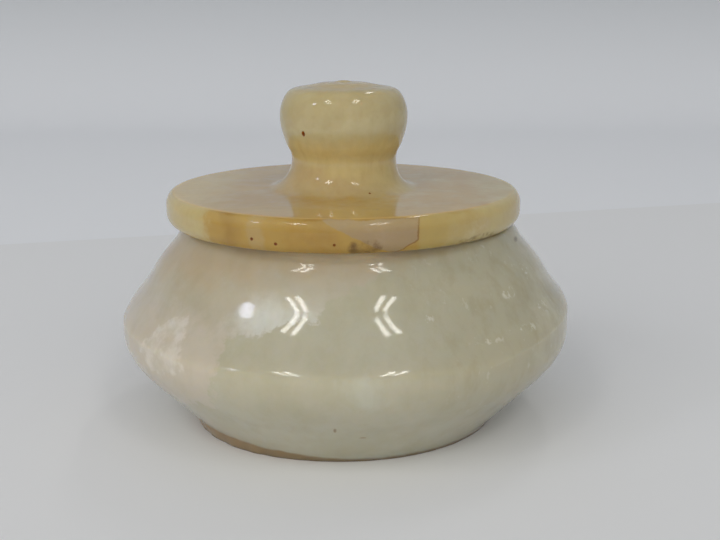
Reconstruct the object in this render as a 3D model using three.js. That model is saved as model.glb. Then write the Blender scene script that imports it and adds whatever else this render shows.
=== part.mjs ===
// Squat lidded jar turned from banded onyx marble: a hollow body on a narrow foot, and a
// flat disc lid with a knob, which lifts off. Millimetres, +Z up. The origin is the centre
// of the foot's underside, where the jar rests.
import * as THREE from 'three';

// Driving dimensions of the body.
const BELLY_RADIUS = 50;
const BELLY_HEIGHT = 22.6;
const FOOT_RADIUS = 33.6;
const FOOT_TOP_RADIUS = 34.9;
const FOOT_EDGE = 1.6;
const CONE_TOP_RADIUS = 42.9;
const CONE_TOP_HEIGHT = 9.8;
const SHOULDER_RADIUS = 46;
const SHOULDER_HEIGHT = 30.5;
const RIM_RADIUS = 35.4;
const RIM_HEIGHT = 44.1;
const MOUTH_RADIUS = 29;
const MOUTH_DEPTH = 3;
const WALL = 7.2;
const FLOOR_THICKNESS = 7;

// Driving dimensions of the lid. Its heights are counted from the underside of its disc.
const LID_RADIUS = 39;
const LID_THICKNESS = 6.9;
const LID_EDGE_ROUND = 2;
const STEP_RADIUS = 27.2;
const STEP_DEPTH = 2.5;
const KNOB_FOOT_RADIUS = 14;
const NECK_RADIUS = 11.3;
const NECK_HEIGHT = 11.3;
const KNOB_RADIUS = 13.85;
const KNOB_WIDEST_HEIGHT = 22.8;
const CROWN_RADIUS = 9.9;
const CROWN_HEIGHT = 29.1;
const KNOB_TOP_HEIGHT = 29.8;
const NUB_RADIUS = 1.8;
const NUB_HEIGHT = 0.5;

// How the two pieces stand together, and how finely they are cut into flats.
const SEAT_GAP = 0.3;
const LID_SIDE_SLIP = -0.6;
const SMALL_EDGE = 0.5;
const TURNS = 64;
const CURVE_STEPS = 5;

// Directions along an outline, in degrees from straight out, turning towards up.
const OUT = 0;
const UP = 90;
const IN = 180;
const DOWN = 270;
const CONE_SLOPE = 45;
const SHOULDER_SLOPE = 129;

// A step of the given length in one of those directions.
function step(length, direction) {
  const angle = THREE.MathUtils.degToRad(direction);
  return new THREE.Vector2(Math.cos(angle), Math.sin(angle)).multiplyScalar(length);
}

// Continues the outline on a smooth curve that leaves and arrives in given directions. The
// reaches say how far it holds each direction.
function sweep(outline, leave, leaveReach, radius, height, arrive, arriveReach) {
  const end = new THREE.Vector2(radius, height);
  const first = outline.currentPoint.clone().add(step(leaveReach, leave));
  const second = end.clone().sub(step(arriveReach, arrive));
  outline.bezierCurveTo(first.x, first.y, second.x, second.y, end.x, end.y);
}

// A turned solid: the outline, drawn as radius and height, spun about +Z.
function turn(outline) {
  const geometry = new THREE.LatheGeometry(outline.getPoints(CURVE_STEPS), TURNS);
  return geometry.rotateX(Math.PI / 2);
}

function stone(name, color, roughness) {
  return new THREE.MeshStandardMaterial({ name, color, roughness, metalness: 0 });
}

// The outside of the body, from the centre of the underside up to the rim.
function drawBodyOutside(outline) {
  outline.moveTo(0, 0);
  outline.lineTo(FOOT_RADIUS, 0);
  outline.lineTo(FOOT_TOP_RADIUS, FOOT_EDGE);
  outline.lineTo(CONE_TOP_RADIUS, CONE_TOP_HEIGHT);
  sweep(outline, CONE_SLOPE, 4.5, BELLY_RADIUS, BELLY_HEIGHT, UP, 4.6);
  sweep(outline, UP, 2.9, SHOULDER_RADIUS, SHOULDER_HEIGHT, SHOULDER_SLOPE, 3.3);
  outline.lineTo(RIM_RADIUS, RIM_HEIGHT - SMALL_EDGE);
  outline.lineTo(RIM_RADIUS - SMALL_EDGE, RIM_HEIGHT);
}

// The hollow, from the mouth down to the middle of the floor.
function drawBodyInside(outline) {
  const bellyInside = BELLY_RADIUS - WALL;
  const floorEdge = FLOOR_THICKNESS + SMALL_EDGE;

  outline.lineTo(MOUTH_RADIUS + SMALL_EDGE, RIM_HEIGHT);
  outline.lineTo(MOUTH_RADIUS, RIM_HEIGHT - SMALL_EDGE);
  outline.lineTo(MOUTH_RADIUS, RIM_HEIGHT - MOUTH_DEPTH);
  sweep(outline, SHOULDER_SLOPE + 180, WALL, bellyInside, BELLY_HEIGHT, DOWN, WALL);
  sweep(outline, DOWN, WALL, bellyInside - 2.3 * WALL, floorEdge, IN, 1.3 * WALL);
  outline.lineTo(0, FLOOR_THICKNESS);
}

function makeBody() {
  const outline = new THREE.Path();
  drawBodyOutside(outline);
  drawBodyInside(outline);
  const mesh = new THREE.Mesh(turn(outline), stone('body_onyx', 0xb7b3a0, 0.12));
  mesh.name = 'jar_body';
  return mesh;
}

// The locating step, which drops into the mouth, and the disc with its rounded edge.
function drawLidDisc(outline) {
  const edgeStart = LID_RADIUS - LID_EDGE_ROUND;
  const lowerRound = 1.3 * LID_EDGE_ROUND;

  outline.moveTo(0, -STEP_DEPTH);
  outline.lineTo(STEP_RADIUS - SMALL_EDGE, -STEP_DEPTH);
  outline.lineTo(STEP_RADIUS, -STEP_DEPTH + SMALL_EDGE);
  outline.lineTo(STEP_RADIUS, 0);
  outline.lineTo(edgeStart, 0);
  sweep(outline, OUT, 1.1, LID_RADIUS, lowerRound, UP, 1.2);
  outline.lineTo(LID_RADIUS, LID_THICKNESS - lowerRound);
  sweep(outline, UP, 1.3, edgeStart, LID_THICKNESS, IN, 1.3);
}

// The knob: a flared foot, a waist, a mushroom head, and the nub left by the lathe centre.
function drawKnob(outline) {
  outline.lineTo(KNOB_FOOT_RADIUS, LID_THICKNESS);
  sweep(outline, IN, 1.7, NECK_RADIUS, NECK_HEIGHT, UP, 2.2);
  sweep(outline, UP, 4.7, KNOB_RADIUS, KNOB_WIDEST_HEIGHT, UP, 4);
  sweep(outline, UP, 3, CROWN_RADIUS, CROWN_HEIGHT, IN, 2.5);
  outline.lineTo(NUB_RADIUS, KNOB_TOP_HEIGHT);
  outline.lineTo(0.8 * NUB_RADIUS, KNOB_TOP_HEIGHT + NUB_HEIGHT);
  outline.lineTo(0, KNOB_TOP_HEIGHT + NUB_HEIGHT);
}

function makeLid() {
  const outline = new THREE.Path();
  drawLidDisc(outline);
  drawKnob(outline);
  const mesh = new THREE.Mesh(turn(outline), stone('lid_onyx', 0xcabd90, 0.1));
  mesh.name = 'lid';
  mesh.position.set(LID_SIDE_SLIP, 0, RIM_HEIGHT + SEAT_GAP);
  return mesh;
}

const jar = new THREE.Group();
jar.add(makeBody(), makeLid());

export default jar;
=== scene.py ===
"""A squat lidded jar turned from banded onyx marble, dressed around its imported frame.

The body and the lid are turned again, finely, over the frame's own two solids. They carry the small
faults of hand work: shallow grooves from the turning tool, a body that isn't quite round, a foot
ground down by hand, and pits where soft spots in the stone have fallen out. Lengths are in metres
and +Z is up. The origin is the centre of the foot's underside.
"""

import logging
import math
from collections.abc import Iterable
from dataclasses import dataclass, replace
from enum import Enum
from typing import ClassVar

import bmesh
import bpy
import numpy as np
from mathutils import Matrix, Vector, noise


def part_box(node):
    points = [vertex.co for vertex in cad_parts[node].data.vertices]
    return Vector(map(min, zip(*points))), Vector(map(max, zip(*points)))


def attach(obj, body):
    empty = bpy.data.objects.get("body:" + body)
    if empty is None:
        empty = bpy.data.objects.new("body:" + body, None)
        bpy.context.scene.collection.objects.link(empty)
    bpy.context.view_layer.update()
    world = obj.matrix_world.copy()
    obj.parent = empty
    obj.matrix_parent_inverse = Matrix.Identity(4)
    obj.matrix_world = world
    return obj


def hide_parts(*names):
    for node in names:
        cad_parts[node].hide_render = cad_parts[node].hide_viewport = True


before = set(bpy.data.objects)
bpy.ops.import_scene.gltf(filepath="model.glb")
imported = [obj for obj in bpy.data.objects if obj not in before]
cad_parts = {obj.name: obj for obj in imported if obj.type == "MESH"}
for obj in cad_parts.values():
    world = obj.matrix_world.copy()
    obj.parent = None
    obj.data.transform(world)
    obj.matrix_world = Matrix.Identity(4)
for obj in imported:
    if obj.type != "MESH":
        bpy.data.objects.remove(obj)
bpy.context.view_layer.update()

MM = 0.001
BODY_NODE = "jar_body"
LID_NODE = "lid"
GROUND_MARK = "ground_edge"
PIT_MARK = "pit"
LOG = logging.getLogger("jar")

Tree = bpy.types.NodeTree
Socket = bpy.types.NodeSocket
Span = tuple[float, float]
Place = tuple[float, float, float]


def linear_colour(code: str) -> tuple[float, float, float, float]:
    """Turns a colour from sRGB hex into linear light.

    Args:
        code: The colour, such as "#b7b3a0".

    Returns:
        Red, green, blue and an alpha of 1.
    """
    channels = [int(code[at:at + 2], 16) / 255 for at in (1, 3, 5)]
    red, green, blue = (
        value / 12.92 if value <= 0.04045 else ((value + 0.055) / 1.055) ** 2.4 for value in channels
    )
    return red, green, blue, 1.0


def add_node(
    tree: Tree,
    kind: str,
    settings: dict[str | int, object] | None = None,
    links: dict[str | int, Socket] | None = None,
) -> bpy.types.Node:
    """Adds a node, sets it up and links it.

    Args:
        tree: The node tree that gets the node.
        kind: The shader node's type, such as "Math".
        settings: Values by name. A name that is one of the node's properties sets that property. Any
            other name, or a number, sets the input of that name or place.
        links: The outputs to link, by the name or place of the input that each goes into.

    Returns:
        The new node.
    """
    node = tree.nodes.new("ShaderNode" + kind)
    for key, value in (settings or {}).items():
        if isinstance(key, str) and hasattr(node, key):
            setattr(node, key, value)
        else:
            node.inputs[key].default_value = value
    for key, output in (links or {}).items():
        tree.links.new(output, node.inputs[key])
    return node


def add_object(name: str, data: bpy.types.ID) -> bpy.types.Object:
    """Adds an object with its mesh, light or camera to the scene.

    Args:
        name: The object's name.
        data: What it shows.

    Returns:
        The new object.
    """
    made = bpy.data.objects.new(name, data)
    bpy.context.scene.collection.objects.link(made)
    return made


def smooth_step(value: np.ndarray, low: float, high: float) -> np.ndarray:
    """Rises smoothly from 0 at low to 1 at high."""
    share = np.clip((value - low) / (high - low), 0.0, 1.0)
    return share * share * (3 - 2 * share)


def azimuths(places: np.ndarray) -> np.ndarray:
    """The direction of each place from the Z axis, in degrees from the front towards the right."""
    return np.degrees(np.arctan2(places[:, 0], -places[:, 1]))


class Heading(Enum):
    """Directions along an outline, in degrees from straight out, turning towards up."""

    OUT = 0.0
    CONE = 45.0
    KNOB_NECK = 71.5
    UP = 90.0
    KNOB_SHOULDER = 122.0
    SHOULDER = 131.0
    CROWN = 172.0
    IN = 180.0
    DOWN = 270.0
    SHOULDER_INSIDE = 311.0

    def vector(self) -> np.ndarray:
        """The direction as a step of length 1 in radius and height."""
        angle = math.radians(self.value)
        return np.array((math.cos(angle), math.sin(angle)))


@dataclass(frozen=True)
class Bend:
    """A point of an outline that lies between smooth curves.

    Attributes:
        radius: Its radius.
        height: Its height.
        heading: The outline's direction there.
        before: How far the outline has held that direction when it gets there.
        after: How far it holds it as it goes on.
    """

    radius: float
    height: float
    heading: Heading
    before: float = 0.0
    after: float = 0.0

    def raised(self, rise: float) -> "Bend":
        """The same bend, that much higher up."""
        return replace(self, height=self.height + rise)


class Outline:
    """The outline of a turned piece, as radius and height, cut into short steps."""

    # A stretch that leans is longer than it is high, so its steps are made this much lower.
    lean_step: ClassVar[float] = 0.8

    def __init__(self, height: float, pitch: float) -> None:
        """Starts on the axis.

        Args:
            height: The height of the first point.
            pitch: The length of a step, which may be changed between stretches.
        """
        self.points = [np.array((0.0, height))]
        self.pitch = pitch

    def steps_along(self, length: float) -> np.ndarray:
        """How far along a stretch each step ends, from just over 0 to 1."""
        count = max(1, math.ceil(length / self.pitch))
        return np.arange(1, count + 1) / count

    def line(self, radius: float, height: float) -> None:
        """Goes straight on to a point."""
        start, end = self.points[-1], np.array((radius, height))
        for share in self.steps_along(float(np.linalg.norm(end - start))):
            self.points.append(start + (end - start) * share)

    def sweep(self, *bends: Bend) -> None:
        """Goes on by smooth curves from the first bend, where it stands, to the last.

        Args:
            bends: The bends, in order.
        """
        for leaving, arriving in zip(bends, bends[1:]):
            start, end = self.points[-1], np.array((arriving.radius, arriving.height))
            first = start + leaving.heading.vector() * leaving.after
            second = end - arriving.heading.vector() * arriving.before
            corners = np.array((start, first, second, end))
            length = float(np.linalg.norm(np.diff(corners, axis=0), axis=1).sum())
            for share in self.steps_along(length):
                rest = 1 - share
                weights = np.array((rest**3, 3 * rest**2 * share, 3 * rest * share**2, share**3))
                self.points.append(weights @ corners)

    def lean_in(self, leans: Iterable[Span]) -> None:
        """Goes on up while leaning in, as the leans say.

        Args:
            leans: The lean from upright in degrees at each of some heights, lowest first. Between
                them it changes smoothly, and the last one ends the stretch.
        """
        heights, degrees = np.array(tuple(leans)).T
        radius, height = self.points[-1]
        count = math.ceil((heights[-1] - height) / (self.lean_step * self.pitch))
        rise = (heights[-1] - height) / count
        for step in range(count):
            middle = height + (step + 0.5) * rise
            after = min(max(int(np.searchsorted(heights, middle)), 1), len(heights) - 1)
            share = float(smooth_step(middle, heights[after - 1], heights[after]))
            lean = degrees[after - 1] + (degrees[after] - degrees[after - 1]) * share
            radius -= math.tan(math.radians(lean)) * rise
            self.points.append(np.array((radius, height + (step + 1) * rise)))


@dataclass(frozen=True)
class Pit:
    """A small hole where a soft spot in the stone has fallen out.

    Attributes:
        azimuth: Its direction from the piece's axis, in degrees from the front towards the right.
        height: Its height.
        radius: Its distance from the axis, to the surface.
        width: Its width.
        tall: How many times taller than wide it is.
        depth: How deep it is.
    """

    azimuth: float
    height: float
    radius: float
    width: float
    tall: float
    depth: float

    def centre(self, axis_x: float) -> np.ndarray:
        """Its place in the jar's frame, for a piece whose axis stands at axis_x."""
        angle = math.radians(self.azimuth)
        right, away = self.radius * math.sin(angle), -self.radius * math.cos(angle)
        return np.array((axis_x + right, away, self.height))

    def closeness(self, points: np.ndarray, axis_x: float) -> np.ndarray:
        """How near points lie to the pit: 0 at its centre, 1 at its lip."""
        away = (points - self.centre(axis_x)) / (self.width / 2)
        away[:, 2] /= self.tall
        return np.linalg.norm(away, axis=1)


class TurnedPiece:
    """A stone piece turned from an outline, which then takes small faults."""

    # How far past its lip a pit's faces are cut finer, and how many cuts each edge there takes.
    fine_margin: ClassVar[float] = 1 * MM
    fine_cuts: ClassVar[int] = 3
    # Where a pit's wall starts and ends, and where its stain thins out, as shares of its half width.
    wall_span: ClassVar[Span] = (0.35, 1.0)
    stain_span: ClassVar[Span] = (0.75, 1.15)

    def __init__(self, name: str, outline: Outline, turns: int, axis_x: float) -> None:
        """Spins the outline about the piece's axis.

        Args:
            name: The piece's name.
            outline: An outline that starts and ends on the axis.
            turns: How many flats go round.
            axis_x: Where the axis stands along X.
        """
        self.axis_x = axis_x
        rings = np.array(outline.points[1:-1])
        angles = 2 * math.pi * np.arange(turns) / turns
        across = axis_x + rings[:, :1] * np.sin(angles)
        away = -rings[:, :1] * np.cos(angles)
        heights = np.broadcast_to(rings[:, 1:], across.shape)
        grid = np.stack((across, away, heights), axis=2).reshape(-1, 3)
        poles = [(axis_x, 0.0, outline.points[0][1]), (axis_x, 0.0, outline.points[-1][1])]

        here = np.arange(len(rings) * turns).reshape(len(rings), turns)
        beside = np.roll(here, -1, axis=1)
        quads = np.stack((here[:-1], beside[:-1], beside[1:], here[1:]), axis=2).reshape(-1, 4)
        first_pole = len(grid)
        start_fan = [(first_pole, int(b), int(a)) for a, b in zip(here[0], beside[0])]
        end_fan = [(first_pole + 1, int(a), int(b)) for a, b in zip(here[-1], beside[-1])]

        mesh = bpy.data.meshes.new(name)
        mesh.from_pydata(np.vstack((grid, poles)).tolist(), [], quads.tolist() + start_fan + end_fan)
        mesh.shade_smooth()
        self.mesh = mesh
        self.object = add_object(name, mesh)

    def places(self) -> np.ndarray:
        """Where every vertex is, one row each."""
        flat = np.empty(3 * len(self.mesh.vertices))
        self.mesh.vertices.foreach_get("co", flat)
        return flat.reshape(-1, 3)

    def move_to(self, places: np.ndarray) -> None:
        """Moves every vertex to its row's place."""
        self.mesh.vertices.foreach_set("co", places.ravel())
        self.mesh.update()

    def mark(self, name: str, amounts: np.ndarray) -> None:
        """Stores an amount for every vertex under a name that the stone's material reads."""
        attribute = self.mesh.attributes.new(name, "FLOAT", "POINT")
        attribute.data.foreach_set("value", amounts.astype(np.float32))

    def refine_near(self, pits: Iterable[Pit]) -> None:
        """Cuts the faces round each pit finer."""
        places = self.places()
        near = np.zeros(len(places), bool)
        for pit in pits:
            reach = 1 + self.fine_margin / (pit.width / 2)
            near |= pit.closeness(places, self.axis_x) < reach
        work = bmesh.new()
        work.from_mesh(self.mesh)
        chosen = [edge for edge in work.edges if all(near[vert.index] for vert in edge.verts)]
        bmesh.ops.subdivide_edges(work, edges=chosen, cuts=self.fine_cuts, use_grid_fill=True)
        work.to_mesh(self.mesh)
        work.free()

    def sink(self, pits: Iterable[Pit]) -> None:
        """Sinks each pit into the surface and marks it for the material."""
        places = self.places()
        marked = np.zeros(len(places))
        sunk = places.copy()
        for pit in pits:
            closeness = pit.closeness(places, self.axis_x)
            inward = np.array((self.axis_x, 0.0, pit.height)) - pit.centre(self.axis_x)
            depth = pit.depth * (1 - smooth_step(closeness, *self.wall_span))
            sunk += depth[:, None] * inward / np.linalg.norm(inward)
            marked = np.maximum(marked, 1 - smooth_step(closeness, *self.stain_span))
        self.move_to(sunk)
        self.mark(PIT_MARK, marked)

    def finish(self, node: str, slot: str, material: bpy.types.Material) -> None:
        """Dresses the piece and puts it in the place of its CAD node.

        Args:
            node: The CAD node that it stands for.
            slot: The record's material slot; not used.
            material: Its finish.
        """
        self.mesh.materials.append(material)
        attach(self.object, "root")
        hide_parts(node)


@dataclass(frozen=True)
class Face:
    """A flat face inside the stone, in millimetres, with a zone on one side of it.

    Attributes:
        point: A point on the face.
        towards: The direction that the zone lies in.
        edge: How wide the zone's edge is.
        fade: How thick the zone is before it has thinned away, or 0 if it goes on.
    """

    point: Place
    towards: Place
    edge: float
    fade: float = 0.0

    def inside(self, tree: Tree, place: Socket) -> Socket:
        """How far inside the zone each place is."""
        away = add_node(tree, "VectorMath", {"operation": "SUBTRACT", 1: self.point}, {0: place})
        towards = Vector(self.towards).normalized()
        along = {"operation": "DOT_PRODUCT", 1: towards}
        return add_node(tree, "VectorMath", along, {0: away.outputs[0]}).outputs["Value"]


def right_of(place: float, edge: float, fade: float = 0.0) -> Face:
    """The face whose zone lies to the right of a place along X."""
    return Face((place, 0, 0), (1, 0, 0), edge, fade)


def left_of(place: float, edge: float) -> Face:
    """The face whose zone lies to the left of a place along X."""
    return Face((place, 0, 0), (-1, 0, 0), edge)


def above(height: float, edge: float) -> Face:
    """The face whose zone lies above a height."""
    return Face((0, 0, height), (0, 0, 1), edge)


def below(height: float, edge: float) -> Face:
    """The face whose zone lies below a height."""
    return Face((0, 0, height), (0, 0, -1), edge)


@dataclass(frozen=True)
class Egg:
    """An egg-shaped body inside the stone, in millimetres.

    Attributes:
        centre: Its centre.
        halves: Its half widths along X, Y and Z.
        edge: How wide its edge is.
    """

    centre: Place
    halves: Place
    edge: float

    # An egg's zone goes on right through it.
    fade: ClassVar[float] = 0.0

    def inside(self, tree: Tree, place: Socket) -> Socket:
        """How far inside the zone each place is."""
        away = add_node(tree, "VectorMath", {"operation": "SUBTRACT", 1: self.centre}, {0: place})
        shrunk = {"operation": "DIVIDE", 1: self.halves}
        ratio = add_node(tree, "VectorMath", shrunk, {0: away.outputs[0]})
        length = add_node(tree, "VectorMath", {"operation": "LENGTH"}, {0: ratio.outputs[0]})
        depth = {"operation": "MULTIPLY_ADD", 1: -min(self.halves), 2: min(self.halves)}
        return add_node(tree, "Math", depth, {0: length.outputs["Value"]}).outputs[0]


@dataclass(frozen=True)
class Figure:
    """A figure that a colour makes in the stone, as irregular patches.

    Attributes:
        size: The size of a patch, in millimetres.
        tall: How many times taller than wide a patch is.
        start: Where the patches start, as a level of the noise that they are cut from.
        full: Where they have their full colour, as a level of the same noise.
        detail: How finely their edges are broken up.
    """

    size: float
    tall: float
    start: float
    full: float
    detail: float

    # How strongly each finer layer of the noise shows in the next coarser one.
    roughness: ClassVar[float] = 0.6

    def share(self, tree: Tree, place: Socket) -> Socket:
        """How much of the colour each place has."""
        drawn = {"operation": "MULTIPLY", 1: (1.0, 1.0, 1 / self.tall)}
        flat = add_node(tree, "VectorMath", drawn, {0: place}).outputs[0]
        pattern = {"Scale": 1 / self.size, "Detail": self.detail, "Roughness": self.roughness}
        level = add_node(tree, "TexNoise", pattern, {"Vector": flat}).outputs["Fac"]
        ramp = {"interpolation_type": "SMOOTHSTEP", "From Min": self.start, "From Max": self.full}
        return add_node(tree, "MapRange", ramp, {"Value": level}).outputs[0]


CLOUDS = Figure(11.0, 1.0, 0.38, 0.66, 5.0)
WISPS = Figure(3.2, 3.0, 0.42, 0.72, 4.0)
FLAKES = Figure(1.9, 1.5, 0.62, 0.70, 4.0)
FEATHERS = Figure(1.3, 1.4, 0.50, 0.64, 5.0)
MOTTLE = Figure(3.5, 1.0, 0.34, 0.66, 6.0)
GRAIN = Figure(1.6, 1.3, 0.40, 0.68, 4.0)
STREAKS = Figure(2.0, 9.0, 0.42, 0.66, 3.0)


@dataclass(frozen=True)
class Zone:
    """A zone of another colour in the stone.

    Attributes:
        colour: Its colour, as sRGB hex.
        strength: How much of its colour the stone takes on, from 0 to 1.
        bounds: What bounds it. It is the stone inside all of them, or all the stone if there are none.
        ragged: How far its edges wander, in millimetres.
        figure: The figure that its colour makes, if it isn't even.
    """

    colour: str
    strength: float
    bounds: tuple[Face | Egg, ...] = ()
    ragged: float = 0.0
    figure: Figure | None = None

    def share(self, tree: Tree, place: Socket, drift: Socket) -> Socket:
        """How much of the zone's colour the stone takes on at each place.

        Args:
            tree: The material's nodes.
            place: Where the surface is, in millimetres.
            drift: How far a ragged edge wanders there, from -1 to 1.

        Returns:
            The share, from 0 to 1.
        """
        shares = [self.figure.share(tree, place)] if self.figure else []
        for bound in self.bounds:
            wander = {"operation": "MULTIPLY_ADD", 1: self.ragged}
            depth = add_node(tree, "Math", wander, {0: drift, 2: bound.inside(tree, place)})
            ramps = [{"From Max": bound.edge}]
            if bound.fade:
                ramps.append({"From Max": bound.fade, "To Min": 1.0, "To Max": 0.0})
            for ramp in ramps:
                ramp["interpolation_type"] = "SMOOTHSTEP"
                shares.append(add_node(tree, "MapRange", ramp, {"Value": depth.outputs[0]}).outputs[0])
        total = add_node(tree, "Value").outputs[0]
        total.default_value = self.strength
        for share in shares:
            total = add_node(tree, "Math", {"operation": "MULTIPLY"}, {0: total, 1: share}).outputs[0]
        return total


@dataclass(frozen=True)
class OnyxMarble:
    """Polished onyx marble, a banded calcite laid down by springs.

    Light goes a few millimetres into it and comes back out, so that it looks waxy and its shadows
    are soft. The polish on top is as clear as glass. The stone was laid down in beds, so its colours
    run right through it in zones with ragged edges, between clearer stone.

    Attributes:
        name: The material's name.
        ground: The colour of most of the stone.
        zones: Its zones of other colours, from the first laid to the last.
        polish: The roughness of the polish.
        depth: How far light travels in the stone.
    """

    name: str
    ground: str
    zones: tuple[Zone, ...]
    polish: float
    depth: float

    # Calcite bends light by 1.49 or 1.66, by its direction.
    ior: ClassVar[float] = 1.57
    # Red light goes furthest into the stone and blue light least, which warms its thin edges.
    depth_by_colour: ClassVar[tuple[float, ...]] = (1.0, 0.75, 0.45)
    # Ragged edges wander with a noise of this size in millimetres, with this much finer detail and
    # roughness, which keeps within these levels.
    drift_size: ClassVar[float] = 7.0
    drift_detail: ClassVar[Span] = (6.0, 0.62)
    drift_levels: ClassVar[Span] = (0.2, 0.8)
    # The waves that polishing by hand leaves and the grain of the crystals under them, as sizes in
    # millimetres with heights.
    reliefs: ClassVar[tuple[Span, ...]] = ((5.0, 0.012 * MM), (1.3, 0.0022 * MM))
    relief_detail: ClassVar[float] = 2.0
    # The ground edge of the foot holds brown dirt, and the pits hold rust.
    stains: ClassVar[tuple[tuple[str, str], ...]] = ((GROUND_MARK, "#917a59"), (PIT_MARK, "#7a4212"))

    def material(self) -> bpy.types.Material:
        """Builds the material.

        Returns:
            The finished material.
        """
        made = bpy.data.materials.new(self.name)
        made.use_nodes = True
        tree = made.node_tree
        tree.nodes.clear()
        object_place = add_node(tree, "TexCoord").outputs["Object"]
        scale = {"operation": "SCALE", "Scale": 1 / MM}
        place = add_node(tree, "VectorMath", scale, {0: object_place}).outputs[0]
        shader = add_node(
            tree,
            "BsdfPrincipled",
            {
                "IOR": self.ior,
                "Roughness": self.polish,
                "Subsurface Weight": 1.0,
                "Subsurface Radius": self.depth_by_colour,
                "Subsurface Scale": self.depth,
            },
            {"Base Color": self.colour(tree, place), "Normal": self.surface(tree, place)},
        )
        add_node(tree, "OutputMaterial", links={"Surface": shader.outputs[0]})
        return made

    def colour(self, tree: Tree, place: Socket) -> Socket:
        """The stone's colour, with its zones laid one over another and its stains over them.

        Args:
            tree: The material's nodes.
            place: Where the surface is, in millimetres.

        Returns:
            The colour.
        """
        detail, roughness = self.drift_detail
        pattern = {"Scale": 1 / self.drift_size, "Detail": detail, "Roughness": roughness}
        level = add_node(tree, "TexNoise", pattern, {"Vector": place}).outputs["Fac"]
        least, most = self.drift_levels
        ramp = {"clamp": False, "From Min": least, "From Max": most, "To Min": -1.0, "To Max": 1.0}
        drift = add_node(tree, "MapRange", ramp, {"Value": level}).outputs[0]
        layers = [(zone.colour, zone.share(tree, place, drift)) for zone in self.zones]
        for mark, stain in self.stains:
            layers.append((stain, add_node(tree, "Attribute", {"attribute_name": mark}).outputs["Fac"]))
        colour = add_node(tree, "RGB").outputs[0]
        colour.default_value = linear_colour(self.ground)
        for code, share in layers:
            mixed = {"data_type": "RGBA", 7: linear_colour(code)}
            colour = add_node(tree, "Mix", mixed, {0: share, 6: colour}).outputs[2]
        return colour

    def surface(self, tree: Tree, place: Socket) -> Socket:
        """The slight unevenness of a polish done by hand, over the grain of the crystals.

        Args:
            tree: The material's nodes.
            place: Where the surface is, in millimetres.

        Returns:
            The normal.
        """
        normal = None
        for size, height in self.reliefs:
            pattern = {"Scale": 1 / size, "Detail": self.relief_detail}
            links = {"Height": add_node(tree, "TexNoise", pattern, {"Vector": place}).outputs["Fac"]}
            if normal is not None:
                links["Normal"] = normal
            normal = add_node(tree, "Bump", {"Distance": height}, links).outputs[0]
        return normal


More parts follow.
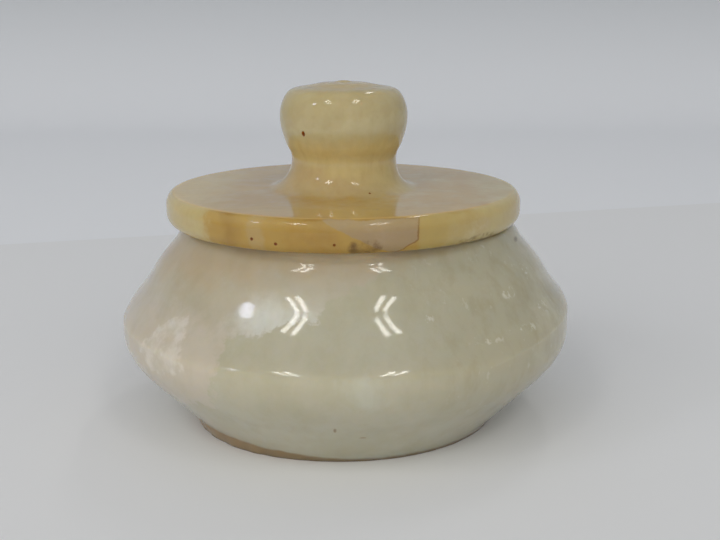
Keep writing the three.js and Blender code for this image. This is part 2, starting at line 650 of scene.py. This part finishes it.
@dataclass
class JarBody:
    """The body: a shallow hollow bowl whose shoulder slopes in to the mouth, on a narrow foot.

    Attributes:
        belly_radius: The widest radius, from the frame.
        rim_height: The height of the rim, from the frame.
    """

    belly_radius: float
    rim_height: float
    belly_height: float = 21.1 * MM
    foot_radius: float = 33.6 * MM
    foot_top_radius: float = 34.9 * MM
    foot_edge: float = 1.6 * MM
    cone_top_radius: float = 42.9 * MM
    cone_top_height: float = 9.8 * MM
    crease_radius: float = 48.85 * MM
    crease_height: float = 24.4 * MM
    # How far the curves hold their direction, as a bend says it: before the belly and after it.
    cone_reach: float = 4.5 * MM
    belly_reaches: Span = (4.6 * MM, 1.6 * MM)
    crease_reach: float = 1.5 * MM

    mouth_radius: float = 29 * MM
    mouth_depth: float = 3 * MM
    wall: float = 7.2 * MM
    floor_thickness: float = 7 * MM
    floor_round: float = 16.56 * MM
    floor_reach: float = 9.36 * MM
    small_edge: float = 0.5 * MM
    turns: int = 448
    fine_pitch: float = 0.42 * MM
    hidden_pitch: float = 2.2 * MM

    # The lean of the shoulder at some heights, with the two shallow grooves left by the tool.
    shoulder_leans: tuple[Span, ...] = (
        (24.4 * MM, 41.0),
        (28.5 * MM, 40.5),
        (33.5 * MM, 31.5),
        (38.2 * MM, 40.5),
        (39.6 * MM, 41.5),
        (41.4 * MM, 29.5),
        (43.2 * MM, 39.0),
        (43.6 * MM, 39.5),
    )
    # How much fuller the left and right sides are. The fullness comes in over a share of the way
    # to each side, and over a span of heights.
    side_fullness: Span = (1.6 * MM, 3.1 * MM)
    side_span: Span = (0.4, 0.95)
    side_heights: Span = (20.5 * MM, 28.5 * MM)
    outside_span: float = 2 * MM
    # The upper groove is worn away on the left. The wear comes in and thins out over these spans,
    # in degrees to the left of the front.
    worn_groove: Span = (40.6 * MM, 42.2 * MM)
    worn_depth: float = 0.12 * MM
    worn_start: Span = (19.0, 26.0)
    worn_end: Span = (60.0, 90.0)

    ground_width: float = 1.5 * MM
    ground_least: float = 0.22 * MM
    ground_height: float = 4 * MM
    ground_azimuth: float = -52.0
    ground_spread: float = 60.0
    ground_lean: float = 0.35
    ground_inset: float = 0.1 * MM
    stain_span: Span = (-0.25 * MM, 0.1 * MM)
    chip_size: float = 3 * MM
    chip_depth: float = 0.3 * MM
    chip_least: float = 0.3
    # Where in the noise the chips are taken from.
    chip_shift: ClassVar[Vector] = Vector((1, 2, 3))

    def outline(self) -> tuple[Outline, float]:
        """Draws the outside up to the rim, then the hollow down to the middle of its floor.

        Returns:
            The outline, and the outside radius of the rim.
        """
        inner_radius = self.belly_radius - self.wall
        mouth_low = self.rim_height - self.mouth_depth
        floor_edge = self.floor_thickness + self.small_edge

        outline = Outline(0.0, self.hidden_pitch)
        outline.line(self.foot_radius, 0.0)
        outline.pitch = self.fine_pitch
        outline.line(self.foot_top_radius, self.foot_edge)
        outline.line(self.cone_top_radius, self.cone_top_height)
        outline.sweep(
            Bend(self.cone_top_radius, self.cone_top_height, Heading.CONE, after=self.cone_reach),
            Bend(self.belly_radius, self.belly_height, Heading.UP, *self.belly_reaches),
            Bend(self.crease_radius, self.crease_height, Heading.SHOULDER, self.crease_reach),
        )
        outline.lean_in(self.shoulder_leans)
        rim_radius = float(outline.points[-1][0])
        outline.line(rim_radius - self.small_edge, self.rim_height)
        outline.pitch = self.hidden_pitch
        outline.line(self.mouth_radius + self.small_edge, self.rim_height)
        outline.line(self.mouth_radius, self.rim_height - self.small_edge)
        outline.line(self.mouth_radius, mouth_low)
        outline.sweep(
            Bend(self.mouth_radius, mouth_low, Heading.SHOULDER_INSIDE, after=self.wall),
            Bend(inner_radius, self.belly_height, Heading.DOWN, self.wall, self.wall),
            Bend(inner_radius - self.floor_round, floor_edge, Heading.IN, self.floor_reach),
        )
        outline.line(0.0, self.floor_thickness)
        return outline, rim_radius

    def build(self, stone: OnyxMarble) -> bpy.types.Object:
        """Turns the body, gives it its faults and dresses it.

        Args:
            stone: The stone it is cut from.

        Returns:
            The finished piece.
        """
        outline, rim_radius = self.outline()
        piece = TurnedPiece(BODY_NODE + "_stone", outline, self.turns, 0.0)
        self.make_uneven(piece, rim_radius)
        self.grind_foot(piece)
        piece.finish(BODY_NODE, "body_onyx", stone.material())
        return piece.object

    def make_uneven(self, piece: TurnedPiece, rim_radius: float) -> None:
        """Takes the body slightly out of round, and wears its upper groove away on the left.

        Args:
            piece: The turned body.
            rim_radius: The outside radius of the rim.
        """
        places = piece.places()
        radius = np.hypot(places[:, 0], places[:, 1])
        height = places[:, 2]
        sideways = places[:, 0] / np.maximum(radius, MM)
        outside = smooth_step(radius, rim_radius - self.outside_span, rim_radius)

        fullness = np.where(sideways < 0, *self.side_fullness)
        fullness = fullness * smooth_step(np.abs(sideways), *self.side_span)
        fullness = fullness * smooth_step(height, *self.side_heights)
        change = np.minimum(fullness, self.belly_radius - radius) * outside

        leftwards = -azimuths(places)
        worn = smooth_step(leftwards, *self.worn_start) * (1 - smooth_step(leftwards, *self.worn_end))
        levelled = 0.5 - smooth_step(height, *self.worn_groove)
        change += self.worn_depth * worn * outside * levelled
        factor = 1 + change / np.maximum(radius, MM)
        places[:, :2] *= factor[:, None]
        piece.move_to(places)

    def grind_foot(self, piece: TurnedPiece) -> None:
        """Leaves the foot standing on a rough ground edge, which is widest at the front left.

        Args:
            piece: The turned body.
        """
        places = piece.places()
        radius = np.hypot(places[:, 0], places[:, 1])
        side = 1 - smooth_step(np.abs(azimuths(places) - self.ground_azimuth), 0.0, self.ground_spread)
        low = (places[:, 2] < self.ground_height) & (radius > self.foot_radius - self.ground_inset)
        chips = np.zeros(len(places))
        spots = (Vector((x, y, 0)) / self.chip_size for x, y in places[low, :2])
        chips[low] = [noise.noise(spot + self.chip_shift) for spot in spots]
        width = self.ground_least + (self.ground_width - self.ground_least) * side
        edge = self.foot_radius + width + self.chip_depth * chips * (self.chip_least + side)
        ground = edge + self.ground_lean * places[:, 2]
        taken = low & (ground > radius)
        factor = np.where(taken, ground / np.maximum(radius, MM), 1.0)
        places[:, :2] *= factor[:, None]
        piece.move_to(places)
        piece.mark(GROUND_MARK, low * smooth_step(ground - radius, *self.stain_span))


@dataclass
class Lid:
    """The lid: a flat disc that drops into the mouth by a step, with a mushroom knob in the middle.

    Attributes:
        axis_x: Where its axis stands along X, from the frame.
        radius: The disc's radius, from the frame.
        low: The height of the step's underside, from the frame.
        high: The height of the knob's top, from the frame.
    """

    axis_x: float
    radius: float
    low: float
    high: float
    step_depth: float = 2.5 * MM
    step_radius: float = 27.2 * MM
    thickness: float = 6.9 * MM
    small_edge: float = 0.5 * MM
    # The rounded edges of the disc: how far in they start, their heights, and how far the curves
    # hold their direction.
    edge_round: float = 2 * MM
    lower_round: float = 2.6 * MM
    upper_round: float = 2.86 * MM
    lower_reaches: Span = (1.1 * MM, 1.2 * MM)
    upper_reach: float = 1.3 * MM

    # The flared foot, the waist, the slope, the widest line and the shoulder, with heights counted
    # up from the disc's top.
    knob: tuple[Bend, ...] = (
        Bend(17.5 * MM, 0.0, Heading.IN, after=4.6 * MM),
        Bend(11.55 * MM, 6.4 * MM, Heading.UP, 2.1 * MM, 1.9 * MM),
        Bend(12.8 * MM, 10 * MM, Heading.KNOB_NECK, 1.2 * MM, 2.1 * MM),
        Bend(14.05 * MM, 15.9 * MM, Heading.UP, 2.4 * MM, 1.5 * MM),
        Bend(12.8 * MM, 20.3 * MM, Heading.KNOB_SHOULDER, 1.5 * MM, 1.5 * MM),
    )
    # The crown, and the nub left by the lathe's centre, with heights counted from the knob's top.
    crown: tuple[Bend, ...] = (
        Bend(9.1 * MM, -1.2 * MM, Heading.CROWN, 2.1 * MM, 3 * MM),
        Bend(2.6 * MM, -0.35 * MM, Heading.IN, 3 * MM, 0.8 * MM),
        Bend(0.65 * MM, 0.0, Heading.IN, 0.6 * MM),
    )
    # The knob stands a little to the right, and the disc's right side is a little fuller.
    knob_slip: float = 0.4 * MM
    knob_slip_rise: float = 6 * MM
    side_growth: float = 0.45 * MM
    side_span: Span = (0.5, 1.0)
    turns: int = 448
    fine_pitch: float = 0.45 * MM
    hidden_pitch: float = 2.2 * MM
    pits: tuple[Pit, ...] = (
        Pit(-36.5, 64.3 * MM, 13.5 * MM, 0.9 * MM, 1.4, 0.5 * MM),
        Pit(-26, 46.9 * MM, 39 * MM, 0.7 * MM, 1.0, 0.3 * MM),
        Pit(-18.5, 46.3 * MM, 38.9 * MM, 0.7 * MM, 1.0, 0.3 * MM),
        Pit(-1.5, 46.5 * MM, 38.9 * MM, 0.6 * MM, 1.0, 0.3 * MM),
        Pit(24, 51.9 * MM, 14.6 * MM, 0.6 * MM, 1.0, 0.15 * MM),
    )

    def top(self) -> float:
        """The height of the disc's top."""
        return self.low + self.step_depth + self.thickness

    def outline(self) -> Outline:
        """Draws the outline, from the middle of the underside to the top of the knob.

        Returns:
            The outline.
        """
        seat, top = self.low + self.step_depth, self.top()
        edge_start = self.radius - self.edge_round

        outline = Outline(self.low, self.hidden_pitch)
        outline.line(self.step_radius - self.small_edge, self.low)
        outline.line(self.step_radius, self.low + self.small_edge)
        outline.line(self.step_radius, seat)
        outline.line(edge_start, seat)
        outline.pitch = self.fine_pitch
        outline.sweep(
            Bend(edge_start, seat, Heading.OUT, after=self.lower_reaches[0]),
            Bend(self.radius, seat + self.lower_round, Heading.UP, self.lower_reaches[1]),
        )
        outline.line(self.radius, top - self.upper_round)
        outline.sweep(
            Bend(self.radius, top - self.upper_round, Heading.UP, after=self.upper_reach),
            Bend(edge_start, top, Heading.IN, self.upper_reach),
        )
        outline.line(self.knob[0].radius, top)
        outline.sweep(
            *(bend.raised(top) for bend in self.knob),
            *(bend.raised(self.high) for bend in self.crown),
        )
        outline.line(0.0, self.high)
        return outline

    def build(self, stone: OnyxMarble) -> bpy.types.Object:
        """Turns the lid, gives it its faults and dresses it.

        Args:
            stone: The stone it is cut from.

        Returns:
            The finished piece.
        """
        piece = TurnedPiece(LID_NODE + "_stone", self.outline(), self.turns, self.axis_x)
        places = piece.places()
        top = self.top()
        places[:, 0] += self.knob_slip * smooth_step(places[:, 2], top, top + self.knob_slip_rise)
        across = (places[:, 0] - self.axis_x) / self.radius
        places[:, 0] += self.side_growth * smooth_step(across, *self.side_span)
        piece.move_to(places)
        piece.refine_near(self.pits)
        piece.sink(self.pits)
        piece.finish(LID_NODE, "lid_onyx", stone.material())
        return piece.object


@dataclass(frozen=True)
class MattePaper:
    """Plain uncoated paper, which scatters light evenly, with painted shade that greys it a little
    where it rises away.

    Attributes:
        name: The material's name.
        colour: Its colour where it lies flat.
        painted_shade_colour: Its colour with painted shade where it has risen, standing in for the
            room's light falling off there.
    """

    name: str
    colour: str
    painted_shade_colour: str | None = None

    # The height at which its painted shade is full, and what little gloss it has.
    raised: ClassVar[float] = 0.1
    roughness: ClassVar[float] = 0.9
    gloss: ClassVar[float] = 0.1

    def material(self) -> bpy.types.Material:
        """Builds the material.

        Returns:
            The finished material.
        """
        made = bpy.data.materials.new(self.name)
        made.use_nodes = True
        tree = made.node_tree
        shader = tree.nodes["Principled BSDF"]
        flat = linear_colour(self.colour)
        shader.inputs["Base Color"].default_value = flat
        # Painted shade: the colour greys with height, for the room's light falling off.
        if self.painted_shade_colour:
            place = add_node(tree, "TexCoord").outputs["Object"]
            height = add_node(tree, "SeparateXYZ", links={0: place}).outputs["Z"]
            share = add_node(tree, "MapRange", {"From Max": self.raised}, {"Value": height})
            both = {"data_type": "RGBA", 6: flat, 7: linear_colour(self.painted_shade_colour)}
            mixed = add_node(tree, "Mix", both, {0: share.outputs[0]})
            tree.links.new(mixed.outputs[2], shader.inputs["Base Color"])
        shader.inputs["Roughness"].default_value = self.roughness
        shader.inputs["Specular IOR Level"].default_value = self.gloss
        return made


class LampKind(Enum):
    """Shapes of lamp, each with the way it faces."""

    STRIP = "a rectangle that faces down"
    PANEL = "a rectangle that faces the jar"
    DISC = "a disc that faces the jar"


@dataclass(frozen=True)
class Lamp:
    """A lamp.

    Attributes:
        kind: Its shape and the way it faces.
        name: Its name.
        place: Its centre.
        width: Its width, or its diameter.
        length: Its length along Y if it's a strip, or its height if it's a panel.
        brightness: How bright its face is, as radiance.
        colour: Its colour.
    """

    kind: LampKind
    name: str
    place: Place
    width: float
    length: float
    brightness: float
    colour: str = "#fffdf8"

    def build(self) -> None:
        """Hangs the lamp in the scene."""
        light = bpy.data.lights.new(self.name, "AREA")
        light.color = linear_colour(self.colour)[:3]
        light.shape = "DISK" if self.kind is LampKind.DISC else "RECTANGLE"
        light.size = self.width
        light.size_y = self.length
        lamp = add_object(self.name, light)
        lamp.location = self.place
        # A panel stands for light from all over the room, which has no shape to mirror.
        lamp.visible_glossy = self.kind is not LampKind.PANEL
        face = self.width * self.length
        if self.kind is LampKind.DISC:
            face = math.pi * self.width**2 / 4
        if self.kind is not LampKind.STRIP:
            lamp.rotation_euler = Vector(self.place).to_track_quat("Z", "Y").to_euler()
        light.energy = math.pi * self.brightness * face


@dataclass
class Studio:
    """A white sheet of paper in front of a pale backdrop, under soft light and two strip fixtures."""

    camera_place: Place = (3.25 * MM, -240 * MM, 91.2 * MM)
    camera_down: float = 13.85
    camera_roll: float = 0.2
    lens: float = 54.275
    sensor: float = 36.0
    clip_start: float = 10 * MM

    room_colour: str = "#f4f7fb"
    room_brightness: float = 0.305
    # Two pairs of strips over the jar, and the lamps of the room.
    lamps: tuple[Lamp, ...] = (
        Lamp(LampKind.STRIP, "strip_left_0", (-0.67, -1.0575, 1.5), 0.08, 0.525, 10.0),
        Lamp(LampKind.STRIP, "strip_left_1", (-0.835, -1.0575, 1.5), 0.08, 0.525, 10.0),
        Lamp(LampKind.STRIP, "strip_right_0", (0.53, -1.0575, 1.5), 0.08, 0.525, 10.0),
        Lamp(LampKind.STRIP, "strip_right_1", (0.695, -1.0575, 1.5), 0.08, 0.525, 10.0),
        Lamp(LampKind.DISC, "round_lamp", (-1.1, -0.58, 0.97), 0.15, 0.0, 8.0, "#dfe4ff"),
        Lamp(LampKind.DISC, "warm_lamp", (-1.2, -0.08, 0.25), 0.05, 0.0, 14.0, "#ffb070"),
        Lamp(LampKind.PANEL, "soft_left", (-1.6, -1.5, 0.7), 2.0, 2.4, 1.3),
        Lamp(LampKind.PANEL, "soft_front", (0.0, -1.9, 0.7), 2.0, 2.4, 1.25),
        Lamp(LampKind.PANEL, "soft_right", (1.6, -1.5, 0.7), 2.0, 2.4, 0.4),
        Lamp(LampKind.PANEL, "soft_behind", (0.0, 1.1, 1.9), 2.0, 1.2, 0.15),
        Lamp(LampKind.STRIP, "strip_behind", (0.5, 1.0, 1.6), 0.08, 0.6, 10.0),
    )
    # The backdrop's second colour is painted shade, greyer where it sweeps up.
    backdrop: MattePaper = MattePaper("pale_backdrop", "#ebedf1", "#c7cace")
    paper: MattePaper = MattePaper("white_paper", "#e7e8ea")

    # The backdrop lies just under the paper, and sweeps up behind the jar.
    backdrop_half: float = 1.6
    backdrop_drop: float = 0.4 * MM
    sweep_start: float = 0.55
    sweep_radius: float = 0.35
    sweep_steps: int = 24
    backdrop_top: float = 1.1
    # The sheet's corners on the table. Its rear edge runs a little askew.
    sheet: tuple[Span, ...] = ((-0.3, -0.3), (0.3, -0.3), (0.3, 0.294), (-0.3, 0.128))

    def build(self) -> None:
        """Sets up the camera, the lights, the backdrop and the paper."""
        self.place_camera()
        self.light()
        self.lay_backdrop()
        bpy.context.scene.view_settings.view_transform = "Standard"

    def place_camera(self) -> None:
        """Stands the camera in front of the jar, a little above it, looking down at it."""
        data = bpy.data.cameras.new("camera")
        data.lens = self.lens
        data.sensor_width = self.sensor
        data.clip_start = self.clip_start
        camera = add_object("camera", data)
        down, roll = math.radians(self.camera_down), math.radians(self.camera_roll)
        turn = Matrix.Rotation(math.radians(90) - down, 4, "X") @ Matrix.Rotation(-roll, 4, "Z")
        camera.matrix_world = Matrix.Translation(self.camera_place) @ turn
        bpy.context.scene.camera = camera

    def light(self) -> None:
        """Hangs the lamps and lights the room evenly."""
        for lamp in self.lamps:
            lamp.build()
        world = bpy.data.worlds.new("room")
        world.use_nodes = True
        background = world.node_tree.nodes["Background"]
        background.inputs["Color"].default_value = linear_colour(self.room_colour)
        background.inputs["Strength"].default_value = self.room_brightness
        bpy.context.scene.world = world

    def lay_backdrop(self) -> None:
        """Lays a backdrop that sweeps up behind the jar, and the sheet of paper on it."""
        half, start, radius = self.backdrop_half, self.sweep_start, self.sweep_radius
        section = [(-half, 0.0), (start, 0.0)]
        for step in range(1, self.sweep_steps + 1):
            angle = math.radians(90) * step / self.sweep_steps
            section.append((start + radius * math.sin(angle), radius * (1 - math.cos(angle))))
        section.append((start + radius, self.backdrop_top))
        low = self.backdrop_drop
        corners = [(side * half, away, height - low) for away, height in section for side in (-1, 1)]
        faces = [(2 * at, 2 * at + 1, 2 * at + 3, 2 * at + 2) for at in range(len(section) - 1)]
        self.add_stage("backdrop", corners, faces, self.backdrop)
        self.add_stage("paper_sheet", [(x, y, 0.0) for x, y in self.sheet], [(0, 1, 2, 3)], self.paper)

    def add_stage(
        self,
        name: str,
        corners: list[Place],
        faces: list[tuple[int, ...]],
        finish: MattePaper,
    ) -> None:
        """Adds a surface that isn't part of the jar.

        Args:
            name: Its name.
            corners: Its corners.
            faces: Its faces, by corner.
            finish: Its finish.
        """
        mesh = bpy.data.meshes.new(name)
        mesh.from_pydata(corners, [], faces)
        mesh.shade_smooth()
        mesh.materials.append(finish.material())
        add_object(name, mesh)


FRONT = Face((0, -26, 0), (0, -1, 0), 3)
# The torn edge of the whitish cloud runs down to the left, steeply at first, and then falls away.
TORN_EDGE = (
    Face((-6.5, -43, 32.2), (-0.52, 0, 0.854), 0.8),
    Face((-6.5, -43, 32.2), (-0.27, 0, 0.963), 0.8),
)
TORN_SIDE = Face((-24.5, -40, 20), (-0.96, 0, 0.28), 1.0)
OPAQUE_SIDE = (TORN_SIDE, Face((0, 0, 17), (-0.15, 0, 1), 1.0), Face((0, 0, 27), (-0.2, 0, -1), 5))
# A yellow vein curls down through the stone above it.
VEIN = (Face((-36, -31, 0), (1, 0.1, -0.5), 0.3, 0.9), Egg((-33, -31, 33), (7, 7, 6), 2))
# The opaque piece in the lid's rim starts at a slanting face. It ends at a dark seam that curls under.
BELOW_TOP = below(51.2, 0.4)
ON_TOP = above(51.15, 0.1)
PIECE_START = Face((1.6, -38, 48.1), (0.455, 0, 0.89), 0.4)
PIECE_INSIDE = Face((1.6, -38, 49), (0.455, 0, 0.89), 1.5)
PIECE_END = (left_of(14.5, 0.25), Face((14.5, 0, 46.8), (-0.51, 0, 0.86), 0.25))
SEAM_END = (left_of(14.78, 0.2), Face((14.75, 0, 46.65), (-0.51, 0, 0.86), 0.2))

# Small fractures in the olive stone at the right show as feathery white spots, partly their own
# whiteness and partly painted glints.
FRACTURE_SPOTS_AND_GLINTS = tuple(
    Zone("#d4d3c5", 0.7, (Egg(centre, halves, 0.6),), 0.8, FEATHERS)
    for centre, halves in (
        ((28, -38.5, 27), (4.5, 4, 1)),
        ((37, -31, 27.5), (3, 4, 1.3)),
        ((41.5, -23.5, 29.5), (2, 3, 2)),
        ((33, -28, 34), (2, 3, 1.5)),
        ((38, -19.5, 37), (1.5, 3, 1.3)),
        ((16.5, -39.5, 32), (1.5, 3, 1.5)),
        ((28, -24, 42.5), (1.6, 2, 0.8)),
    )
)

BODY_STONE = OnyxMarble(
    name="pale_green_onyx",
    ground="#b8b4a0",
    zones=(
        Zone("#aea990", 0.6, figure=CLOUDS),
        # Olive and more crystalline to the right.
        Zone("#afaa93", 0.9, (Face((8, 0, 24), (1, 0, 0.25), 22),), 5.0),
        Zone("#a29b80", 0.35, (Face((10, 0, 24), (1, 0, 0.4), 16),), 4.0, WISPS),
        Zone("#cfcdbd", 0.3, (Face((12, 0, 22), (1, 0, 0.3), 14),), 5.0, FLAKES),
        # Paler at the far right: partly the stone's paler crystals, partly painted light from the
        # right.
        Zone("#cdc8b4", 0.8, (Face((36, 0, 30), (1, 0, 0.1), 12),), 5.0, CLOUDS),
        # A clear bluish patch below the middle.
        Zone("#bfc0b3", 0.55, (Egg((4, -49, 20), (6, 9, 5), 4),), 4.0),
        # Beige above the torn edge, and a whitish cloud that lies along it.
        Zone("#b8b09d", 0.9, TORN_EDGE, 3.5),
        Zone("#c6c3b5", 0.85, (*TORN_EDGE, Egg((-11, -42, 33), (17, 12, 8), 8)), 3.5),
        Zone("#d7d7cf", 0.66, (*TORN_EDGE, Egg((-14.5, -41, 31.5), (13, 10, 5.5), 6)), 3.5),
        Zone("#aaa188", 0.5, (Face((-20, 0, 34), (-0.8, 0, 0.6), 8),), 4.0, CLOUDS),
        # Opaque pinkish white at the far left, down to just below the belly.
        Zone("#c2b9aa", 0.8, OPAQUE_SIDE, 4.0),
        Zone("#d6d1c8", 0.65, (Egg((-37, -33, 24), (9, 10, 5.5), 1.5),), 5.0, MOTTLE),
        Zone("#9c9168", 0.5, VEIN, 0.8),
        # Browner under the rim: partly the stone's own colour, partly painted shade and amber light
        # from the honey-coloured lid above.
        Zone("#b7a587", 0.75, (Face((0, 0, 37.5), (-0.12, 0, 1), 6),), 2.5),
        # Painted light at the front just under the lid: paler, for light coming down through the
        # honey-coloured lid.
        Zone("#e0cfae", 0.8, (above(42, 1.6), right_of(-18, 10), left_of(14, 10)), 0.6),
        Zone("#a09675", 0.14, figure=WISPS),
        *FRACTURE_SPOTS_AND_GLINTS,
        # A dark chip by the rim at the right.
        Zone("#6d6048", 0.8, (Egg((36.6, -11.8, 41.7), (2.2, 2.5, 0.6), 0.5),), 0.3),
        # Fine dark streaks low down.
        Zone("#7c6344", 0.7, (Egg((-1.7, -44.5, 10.8), (0.35, 2, 0.9), 0.3),), 0.3),
        Zone("#8a7350", 0.6, (Egg((3.8, -42, 8.3), (0.9, 2, 0.35), 0.3),), 0.3),
    ),
    polish=0.07,
    depth=8 * MM,
)

LID_STONE = OnyxMarble(
    name="honey_onyx",
    ground="#b6aa84",
    zones=(
        Zone("#ac9f74", 0.6, figure=CLOUDS),
        # Clear honey stone through the knob's waist, under a paler band, and pinker at its foot.
        Zone("#c0b893", 0.6, (Face((0, 0, 67), (0.1, 0, -1), 2, 5),), 3.0),
        Zone("#c6b27c", 0.9, (Face((0, 0, 64.5), (0.08, 0, -1), 4),), 2.5),
        Zone("#b0965d", 0.2, (below(64.5, 4),), 2.0, STREAKS),
        Zone("#b59b70", 0.6, (Face((0, 0, 57), (-0.35, 0, -1), 4),), 2.0),
        Zone("#bfa76c", 0.8, (above(73.3, 0.5),), 0.3),
        # The disc: mottled beige on top and pale at its ends, with amber stone in front.
        Zone("#b39047", 0.9, (below(51.8, 0.8),), 0.6),
        Zone("#c6a65e", 0.6, (below(51.8, 0.8),), 0.6, CLOUDS),
        Zone("#b8ab7c", 0.9, (below(51.25, 0.1),)),
        Zone("#a8893f", 0.95, (right_of(-30, 4), FRONT), 3.0),
        Zone("#876425", 0.6, (right_of(-25, 2, 6), FRONT), 2.0),
        Zone("#8d6828", 0.5, (right_of(-15, 2), FRONT), 2.0, CLOUDS),
        Zone("#ab9463", 0.75, (Egg((-17, -36, 48), (2.6, 6, 4.4), 1.5),), 1.8),
        # Yellower beyond the seam, and pale at the far end.
        Zone("#ab9657", 0.95, (right_of(14, 1), FRONT), 0.7),
        Zone("#c0b694", 0.9, (right_of(19, 10), FRONT), 3.0),
        # The top keeps to one bed of paler honey stone, right to its front edge and its ends.
        Zone("#c2a35f", 0.85, (ON_TOP, Face((0, -23, 0), (0, -1, 0), 6))),
        Zone("#d9c98f", 0.5, (ON_TOP, left_of(-20, 14))),
        Zone("#b9bd93", 0.35, (ON_TOP, right_of(26, 10))),
        # A dark seam, with the opaque pinkish piece over it.
        Zone("#775329", 0.75, (*SEAM_END, PIECE_START, BELOW_TOP, right_of(6, 5), FRONT), 0.7),
        Zone("#9d8866", 0.97, (*PIECE_END, PIECE_START, BELOW_TOP, FRONT), 0.7),
        Zone("#ad997f", 0.6, (*PIECE_END, PIECE_INSIDE, BELOW_TOP, FRONT), 0.7, CLOUDS),
        # Painted light: the rounded upper edge is painted paler, for light coming through it from the
        # top.
        Zone("#c2b68d", 0.2, (above(48.4, 1.8), BELOW_TOP, FRONT), 0.5),
        # Brown stains low on the rim.
        Zone("#614417", 0.9, (Egg((4.2, -38.4, 45.4), (3.6, 4, 2.1), 1.0),), 1.0, MOTTLE),
        Zone("#6d5a30", 0.7, (Egg((27, -27, 44.7), (8, 8, 1.5), 0.5),), 0.5, GRAIN),
        Zone("#9a8655", 0.12, figure=GRAIN),
    ),
    polish=0.07,
    depth=7 * MM,
)


def main() -> None:
    """Builds the jar in its studio and reports each piece."""
    logging.basicConfig(level=logging.INFO, format="%(name)s: %(message)s")
    body_low, body_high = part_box(BODY_NODE)
    lid_low, lid_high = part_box(LID_NODE)

    Studio().build()
    body = JarBody(belly_radius=body_high.x, rim_height=body_high.z)
    lid = Lid(
        axis_x=(lid_low.x + lid_high.x) / 2,
        radius=(lid_high.x - lid_low.x) / 2,
        low=lid_low.z,
        high=lid_high.z,
    )
    for made in (body.build(BODY_STONE), lid.build(LID_STONE)):
        mesh = made.data
        LOG.info("%s: %d vertices, %d faces", made.name, len(mesh.vertices), len(mesh.polygons))


if __name__ == "__main__":
    main()
